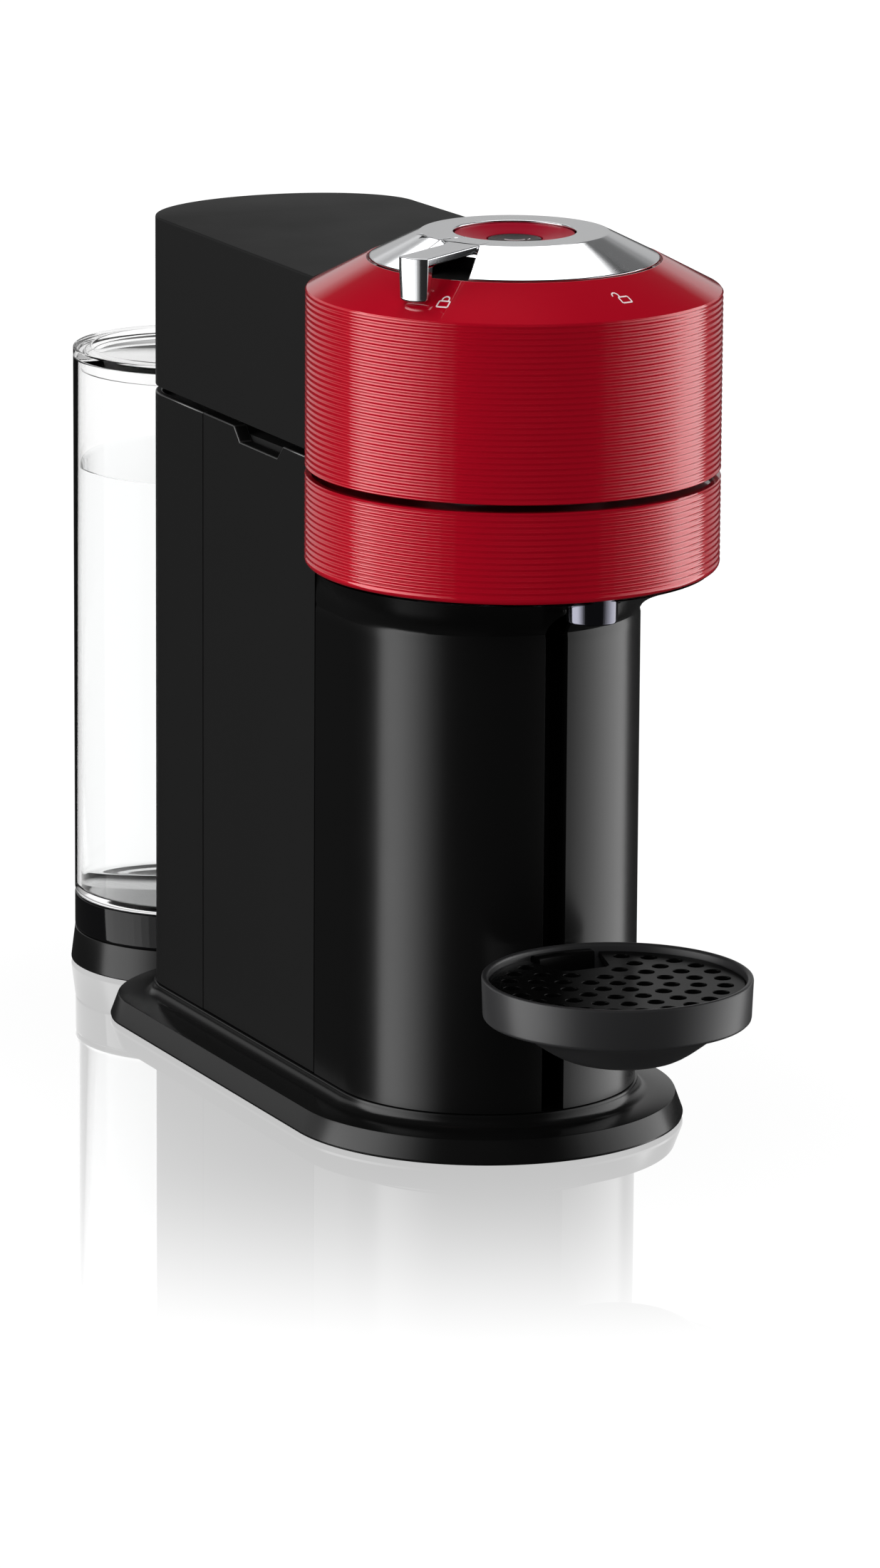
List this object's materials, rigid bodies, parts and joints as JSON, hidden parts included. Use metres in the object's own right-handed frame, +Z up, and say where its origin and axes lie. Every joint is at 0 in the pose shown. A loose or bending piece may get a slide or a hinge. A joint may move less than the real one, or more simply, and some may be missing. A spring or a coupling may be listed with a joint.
{
  "type": "espresso machine",
  "caption": "Capsule espresso machine: ribbed red round head with a chrome lever on a slim black body, a clear round water tank behind and a small round cup tray in front.",
  "frame": {"origin": "centre of the machine's footprint on the counter, midway between the tray's front and the tank's rear", "axes": "-Y to the front (tray and outlet), +X to the viewer's right, +Z up"},
  "size_m": [0.142, 0.4294, 0.315],
  "materials": {
    "red_ribbed": "high-gloss cherry red moulding",
    "red_dish": "satin cherry red",
    "black_side": "fine-grained black moulding",
    "black_cover": "satin black moulding",
    "black_column": "satin-gloss black moulding",
    "black_inner": "plain black moulding",
    "chrome_lever": "bright chrome plating",
    "dark_chrome": "dark chrome plating",
    "steel": "plain steel",
    "hinge_steel": "pressed steel",
    "cast_metal": "cast aluminium",
    "brew_metal": "grey technical plastic",
    "pump_plastic": "off-white technical plastic",
    "board": "green circuit board",
    "hose": "silicone hose",
    "rubber": "soft black rubber",
    "seal": "red silicone",
    "button_black": "glossy black button",
    "tray_grey": "satin dark grey",
    "grille_black": "fine-grained black",
    "tank_clear": "clear tank moulding",
    "tank_smoke": "smoked clear moulding"
  },
  "bodies": {
    "machine": {"base_plate": "black_side", "foot_pads": "rubber", "case_screws": "steel", "column_shell": "black_column", "head_shoulder": "black_column", "lower_ring": "red_ribbed", "right_panel": "black_side", "rear_shell": "black_side", "chassis": "black_inner", "hinge_arms": "hinge_steel", "hinge_pin": "steel", "slot_rail": "black_inner", "outlet_nozzle": "dark_chrome", "coffee_collector": "brew_metal", "cup_bearing": "steel", "capsule_chute": "black_inner", "pump": "pump_plastic", "pump_mounts": "rubber", "thermoblock": "cast_metal", "flow_meter": "pump_plastic", "control_board": "board", "cold_hose": "hose", "hot_hose": "hose", "cable_gland": "black_inner", "valve_socket": "pump_plastic", "socket_seal": "seal"},
    "head": {"upper_shell": "red_ribbed", "rear_cover": "black_cover", "head_plate": "black_inner", "cover_plate": "black_inner", "hinge_brackets": "hinge_steel", "spin_motor": "cast_metal", "head_bearing": "steel", "lock_base": "black_inner", "button_dish": "red_dish"},
    "brew_head": {"brew_plate": "brew_metal", "brew_seal": "seal", "needles": "steel"},
    "cup": {"capsule_cup": "brew_metal"},
    "lever": {"lever_ring": "chrome_lever", "lock_collar": "black_inner"},
    "button": {"button_cap": "button_black", "button_spring": "steel"},
    "tray": {"drip_tray": "tray_grey", "tray_hook": "black_inner"},
    "grille": {"tray_grille": "grille_black"},
    "tank": {"tank_shell": "tank_clear", "tank_collar": "tank_smoke", "tank_valve": "pump_plastic"},
    "lid": {"tank_lid": "tank_clear"},
    "bin": {"capsule_bin": "black_inner", "bin_panel": "black_side"}
  },
  "joints": [
    {"name": "head_hinge", "type": "hinge", "parent": "machine", "child": "head", "pos_m": [0, 0.1075, 0.286], "axis": [-1, 0, 0], "range_deg": [0, 45]},
    {"name": "lever_turn", "type": "hinge", "parent": "head", "child": "lever", "pos_m": [0, -0.0885, 0.31], "axis": [0, 0, 1], "range_deg": [0, 59]},
    {"name": "button_press", "type": "slide", "parent": "head", "child": "button", "axis": [0, 0, -1], "range_m": [0, 0.0015], "stiffness_N_per_m": 1200, "springref_m": -0.001, "deforming": ["button_spring"]},
    {"name": "brew_spin", "type": "hinge", "parent": "head", "child": "brew_head", "pos_m": [0, -0.0885, 0.24], "axis": [0, 0, 1], "continuous": true},
    {"name": "cup_spin", "type": "hinge", "parent": "machine", "child": "cup", "pos_m": [0, -0.0885, 0.215], "axis": [0, 0, 1], "continuous": true},
    {"name": "tray_height", "type": "slide", "parent": "machine", "child": "tray", "axis": [0, 0, 1], "range_m": [-0.03, 0.055]},
    {"name": "grille_lift", "type": "slide", "parent": "tray", "child": "grille", "axis": [0, 0, 1], "range_m": [0, 0.05]},
    {"name": "tank_lift", "type": "slide", "parent": "machine", "child": "tank", "axis": [0, 0, 1], "range_m": [0, 0.12]},
    {"name": "lid_lift", "type": "slide", "parent": "tank", "child": "lid", "axis": [0, 0, 1], "range_m": [0, 0.06]},
    {"name": "bin_slide", "type": "slide", "parent": "machine", "child": "bin", "axis": [-1, 0, 0], "range_m": [0, 0.11]}
  ],
  "couplings": [
    {"joint": "cup_spin", "follows": "brew_spin", "ratio": 1}
  ]
}
